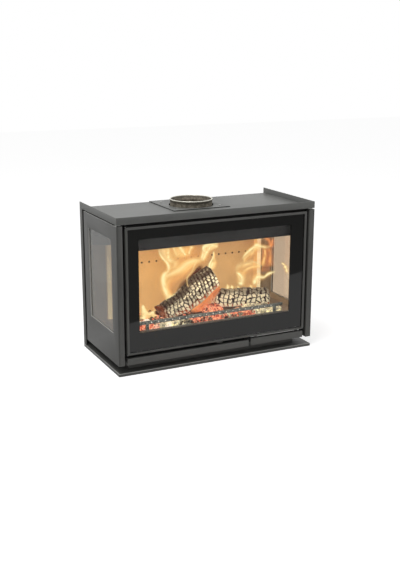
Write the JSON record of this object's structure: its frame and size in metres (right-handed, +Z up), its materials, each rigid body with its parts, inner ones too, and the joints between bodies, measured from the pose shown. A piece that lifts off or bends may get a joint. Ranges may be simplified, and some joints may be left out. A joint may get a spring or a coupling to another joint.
{
  "type": "three-sided fireplace insert",
  "caption": "Wide wood-burning fireplace insert with a glass door in front, a fixed window in each side, a vermiculite-lined firebox, a top tray and a round flue collar.",
  "frame": {"origin": "centre of the base plate's underside", "axes": "+X to the right as seen from the front, +Y to the rear, +Z up; the door faces -Y"},
  "size_m": [0.776, 0.37, 0.56],
  "materials": {
    "casing_paint": "satin dark grey stove paint",
    "firebox_paint": "matt black heat-resistant paint",
    "vermiculite": "matt pressed vermiculite board",
    "front_glass": "clear ceramic glass with a black printed border",
    "side_glass": "clear ceramic glass",
    "seal_rope": "braided glass-fibre seal",
    "collar_casting": "raw casting with a machined lip",
    "dark_casting": "bare grey casting",
    "bright_steel": "zinc plated",
    "charred_wood": "charred split log with ash",
    "embers": "glowing embers under ash"
  },
  "bodies": {
    "root": {"base_plate": "casing_paint", "plinth_frame": "casing_paint", "body_bottom": "casing_paint", "front_post_right": "casing_paint", "front_post_left": "casing_paint", "front_frame": "firebox_paint", "firebox_side_right": "firebox_paint", "firebox_side_left": "firebox_paint", "firebox_back": "firebox_paint", "firebox_top": "firebox_paint", "hearth_floor": "firebox_paint", "side_gaskets": "seal_rope", "side_glass_right": "side_glass", "side_glass_left": "side_glass", "side_glass_clips": "bright_steel", "side_panel_right": "casing_paint", "side_panel_left": "casing_paint", "back_brick_right": "vermiculite", "back_brick_left": "vermiculite", "corner_strips": "vermiculite", "rear_corner_plates": "firebox_paint", "hearth_brick_front": "vermiculite", "hearth_brick_rear": "vermiculite", "hearth_bricks_side": "vermiculite", "grate": "dark_casting", "ash_box": "firebox_paint", "ash_pan": "firebox_paint", "baffle_right": "vermiculite", "baffle_left": "vermiculite", "baffle_rails": "firebox_paint", "upper_deflector": "firebox_paint", "air_guide": "firebox_paint", "flue_collar": "collar_casting", "flange_screws": "bright_steel", "top_tray": "casing_paint", "flue_cover_plate": "casing_paint", "rear_casing": "casing_paint", "spacer_tubes": "bright_steel", "casing_screws": "bright_steel", "log_guard": "dark_casting", "log_leaning": "charred_wood", "log_lying": "charred_wood", "ember_bed": "embers", "hinge_brackets": "firebox_paint", "hinge_pins": "bright_steel", "lower_strip": "casing_paint", "latch_keeper": "firebox_paint", "air_duct": "firebox_paint", "air_inlet": "firebox_paint"},
    "door": {"door_frame": "casing_paint", "handle_lugs": "casing_paint", "door_glass": "front_glass", "door_glass_tape": "seal_rope", "door_rope_seal": "seal_rope", "door_glass_clips": "bright_steel"},
    "handle": {"handle_strip": "casing_paint", "handle_shaft": "bright_steel", "latch_tongue": "bright_steel"},
    "air_control": {"air_damper": "firebox_paint", "air_lever": "casing_paint"}
  },
  "joints": [
    {"name": "door_hinge", "type": "hinge", "parent": "root", "child": "door", "pos_m": [-0.3515, -0.1724, 0.297], "axis": [0, 0, -1], "range_deg": [0, 95]},
    {"name": "handle_pivot", "type": "hinge", "parent": "door", "child": "handle", "pos_m": [0.24, -0.172, 0.0683], "axis": [-1, 0, 0], "range_deg": [0, 16]},
    {"name": "air_slide", "type": "slide", "parent": "root", "child": "air_control", "axis": [1, 0, 0], "range_m": [-0.055, 0.055]}
  ]
}
